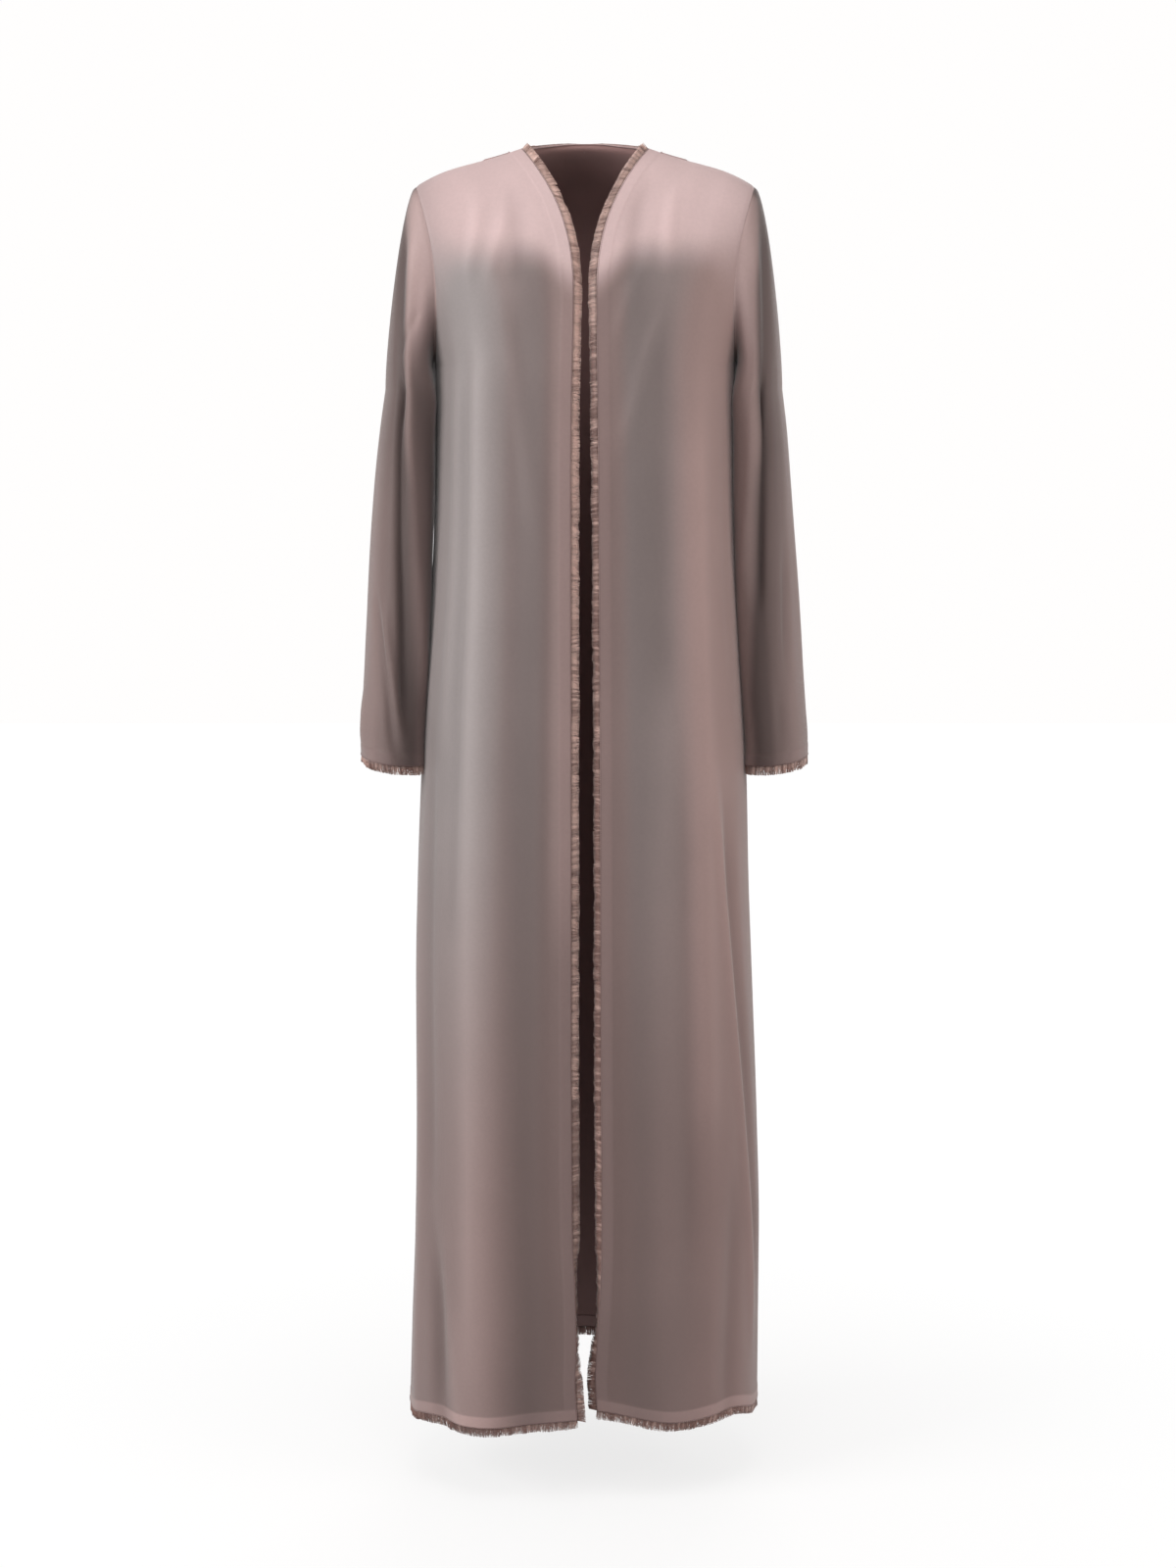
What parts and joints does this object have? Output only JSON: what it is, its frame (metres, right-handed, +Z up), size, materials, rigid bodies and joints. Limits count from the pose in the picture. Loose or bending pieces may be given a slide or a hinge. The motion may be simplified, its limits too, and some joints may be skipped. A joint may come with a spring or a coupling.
{
  "type": "abaya cloak",
  "caption": "Long open-front abaya cloak with a V neck, set-in straight sleeves and a short fringe along every edge, in the hollow form of wear.",
  "frame": {"origin": "middle of the shoulder line, level with the two points where the shoulder seams meet the neck", "axes": "+Z up, +X towards the wearer's left, the open front faces -Y"},
  "size_m": [0.5012, 0.2913, 1.4363],
  "materials": {
    "crepe_satin": "soft crepe-back satin with a low sheen",
    "turned_edge": "the same cloth, doubled along the edge",
    "fringe": "fine cut threads with a slight shine"
  },
  "bodies": {
    "root": {"back_panel": "crepe_satin", "front_panel_right": "crepe_satin", "front_panel_left": "crepe_satin", "sleeve_right": "crepe_satin", "sleeve_left": "crepe_satin", "front_band_right": "turned_edge", "front_band_left": "turned_edge", "back_neck_band": "turned_edge", "hem_band_right": "turned_edge", "hem_band_left": "turned_edge", "hem_band_back": "turned_edge", "cuff_band_right": "turned_edge", "cuff_band_left": "turned_edge", "front_fringe_right": "fringe", "front_fringe_left": "fringe", "back_neck_fringe": "fringe", "hem_fringe_right": "fringe", "hem_fringe_left": "fringe", "hem_fringe_back": "fringe", "cuff_fringe_right": "fringe", "cuff_fringe_left": "fringe"}
  },
  "joints": []
}
